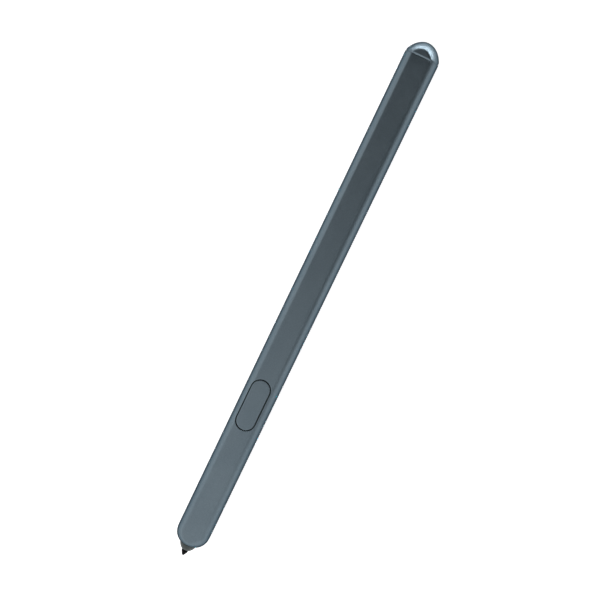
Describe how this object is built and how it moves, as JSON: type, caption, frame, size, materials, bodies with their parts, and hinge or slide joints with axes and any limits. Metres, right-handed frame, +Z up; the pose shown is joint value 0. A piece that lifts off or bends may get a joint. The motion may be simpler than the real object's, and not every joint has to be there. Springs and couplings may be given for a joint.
{
  "type": "tablet stylus",
  "caption": "Slim round tablet stylus with one flat side, a flush side button that presses in, a pressure-sensing nib that can be pulled out, and a domed end cap.",
  "frame": {"origin": "under the middle of the pen, on the surface it lies on", "axes": "+X along the pen towards the domed end cap, so the nib points to -X; +Z up, out of the flat side; +Y to the side, by the right-hand rule"},
  "size_m": [0.145, 0.0088, 0.0081],
  "materials": {
    "satin_lacquer": "satin",
    "nose_plastic": "satin",
    "nib_plastic": "satin",
    "carrier_plastic": "matte",
    "silicone_rubber": "matte",
    "conductive_rubber": "matte",
    "ferrite": "satin",
    "copper": "satin",
    "insulating_film": "gloss",
    "spring_steel": "satin",
    "white_ceramic": "satin",
    "solder_mask": "satin",
    "chip_resin": "matte",
    "capacitor_ceramic": "satin",
    "magnet_nickel": "satin",
    "cell_can": "satin",
    "black_foam": "matte"
  },
  "bodies": {
    "pen_body": {"barrel": "satin_lacquer", "end_cap": "satin_lacquer", "cap_seal": "silicone_rubber", "nose_cone": "nose_plastic", "nose_seal": "silicone_rubber", "coil_buffer": "silicone_rubber", "ferrite_core": "ferrite", "coil_winding": "copper", "coil_sleeve": "insulating_film", "coil_lead_left": "copper", "coil_lead_right": "copper", "pressure_spring": "spring_steel", "dielectric_disc": "white_ceramic", "sensor_terminal": "spring_steel", "sensor_housing": "carrier_plastic", "sensor_plug": "carrier_plastic", "switch_base": "chip_resin", "switch_dome": "spring_steel", "switch_cover": "spring_steel", "circuit_board": "solder_mask", "timing_crystal": "spring_steel", "radio_chip": "chip_resin", "power_chip": "chip_resin", "motion_chip": "chip_resin", "tuning_capacitor_1": "capacitor_ceramic", "tuning_capacitor_2": "capacitor_ceramic", "tuning_capacitor_3": "capacitor_ceramic", "tuning_capacitor_4": "capacitor_ceramic", "lower_carrier": "carrier_plastic", "upper_carrier": "carrier_plastic", "front_magnet": "magnet_nickel", "rear_magnet": "magnet_nickel", "storage_cell": "cell_can", "cell_bung": "silicone_rubber", "cell_lead_left": "spring_steel", "cell_lead_right": "spring_steel", "antenna_strip": "copper", "rear_damper": "black_foam"},
    "side_button": {"side_button": "satin_lacquer"},
    "switch_plunger": {"switch_plunger": "nose_plastic"},
    "nib_holder": {"nib_holder": "nose_plastic", "conductive_rubber": "conductive_rubber"},
    "nib": {"nib": "nib_plastic"}
  },
  "joints": [
    {"name": "button_press", "type": "slide", "parent": "pen_body", "child": "side_button", "axis": [0, 0, -1], "range_m": [0, 0.0003], "stiffness_N_per_m": 4000, "springref_m": -0.0001},
    {"name": "plunger_press", "type": "slide", "parent": "pen_body", "child": "switch_plunger", "axis": [0, 0, -1], "range_m": [0, 0.0003], "deforming": ["switch_dome"]},
    {"name": "nib_press", "type": "slide", "parent": "pen_body", "child": "nib_holder", "axis": [1, 0, 0], "range_m": [0, 0.0003], "stiffness_N_per_m": 3000, "springref_m": -0.0001, "deforming": ["pressure_spring"]},
    {"name": "nib_pull", "type": "slide", "parent": "nib_holder", "child": "nib", "axis": [-1, 0, 0], "range_m": [0, 0.0145]}
  ],
  "couplings": [
    {"joint": "plunger_press", "follows": "button_press", "ratio": 1}
  ]
}
